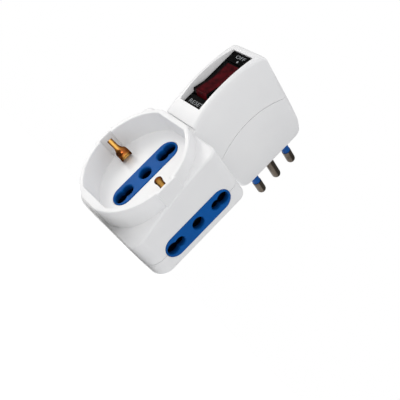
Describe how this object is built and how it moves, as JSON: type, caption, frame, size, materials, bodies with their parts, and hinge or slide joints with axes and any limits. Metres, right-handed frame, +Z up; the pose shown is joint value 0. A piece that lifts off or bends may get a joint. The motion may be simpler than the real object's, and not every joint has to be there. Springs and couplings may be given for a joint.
{
  "type": "multi socket adapter",
  "caption": "Wall plug adapter with an overload switch on its plug body and shuttered sockets on the front and both sides of its socket head.",
  "frame": {"origin": "middle of the plug's pin line on the wall face, on the earth pin's axis", "axes": "+Y along the pins into the wall, -Y towards the user, +Z up along the pin line from the socket head to the plug body, +X to the right seen from the user"},
  "size_m": [0.049, 0.0651, 0.0864],
  "materials": {
    "housing": "glossy moulded white plastic",
    "insert": "glossy blue plastic",
    "shutter": "dark blue plastic",
    "cover": "plain pale plastic",
    "brass": "pressed sheet, bright",
    "pin_metal": "nickel plated",
    "sleeve": "smooth blue sleeve",
    "switch_black": "black plastic",
    "lens_red": "dark red clear plastic",
    "lamp_glass": "clear glass with a warm gas",
    "spring_steel": "drawn wire",
    "carrier": "dark heat-resistant plastic",
    "wire_brown": "brown insulation",
    "wire_blue": "blue insulation",
    "wire_green": "green insulation",
    "screw_steel": "zinc plated"
  },
  "bodies": {
    "adapter": {"front_shell": "housing", "rear_shell": "housing", "front_insert": "insert", "left_insert": "insert", "right_insert": "insert", "front_shutter_cover": "cover", "left_shutter_cover": "cover", "right_shutter_cover": "cover", "front_shutter_spring": "spring_steel", "left_shutter_spring": "spring_steel", "right_shutter_spring": "spring_steel", "earth_clip": "brass", "line_bar": "brass", "neutral_bar": "brass", "earth_bar": "brass", "line_pin": "pin_metal", "neutral_pin": "pin_metal", "earth_pin": "pin_metal", "line_sleeve": "sleeve", "neutral_sleeve": "sleeve", "pin_carrier": "carrier", "switch_frame": "switch_black", "load_terminal": "brass", "line_terminal": "brass", "bimetal_strip": "spring_steel", "supply_wire": "wire_brown", "line_wire": "wire_brown", "neutral_wire": "wire_blue", "earth_wire": "wire_green", "housing_screws": "screw_steel"},
    "rocker": {"rocker_body": "switch_black", "rocker_lens": "lens_red", "neon_lamp": "lamp_glass", "rocker_plunger": "carrier", "plunger_spring": "spring_steel"},
    "lever": {"contact_lever": "brass"},
    "front_shutter_slider": {"front_shutter": "shutter"},
    "left_shutter_slider": {"left_shutter": "shutter"},
    "right_shutter_slider": {"right_shutter": "shutter"}
  },
  "joints": [
    {"name": "rocker_tilt", "type": "hinge", "parent": "adapter", "child": "rocker", "pos_m": [0, -0.0405, 0], "axis": [1, 0, 0], "range_deg": [0, 14]},
    {"name": "lever_tilt", "type": "hinge", "parent": "adapter", "child": "lever", "pos_m": [0, -0.03115, 0], "axis": [1, 0, 0], "range_deg": [-7, 0]},
    {"name": "front_shutter_slide", "type": "slide", "parent": "adapter", "child": "front_shutter_slider", "axis": [1, 0, 0], "range_m": [0, 0.0056], "stiffness_N_per_m": 40, "springref_m": -0.002, "deforming": ["front_shutter_spring"]},
    {"name": "left_shutter_slide", "type": "slide", "parent": "adapter", "child": "left_shutter_slider", "axis": [0, -1, 0], "range_m": [0, 0.0056], "stiffness_N_per_m": 40, "springref_m": -0.002, "deforming": ["left_shutter_spring"]},
    {"name": "right_shutter_slide", "type": "slide", "parent": "adapter", "child": "right_shutter_slider", "axis": [0, -1, 0], "range_m": [0, 0.0056], "stiffness_N_per_m": 40, "springref_m": -0.002, "deforming": ["right_shutter_spring"]}
  ],
  "couplings": [
    {"joint": "lever_tilt", "follows": "rocker_tilt", "ratio": -0.5}
  ]
}
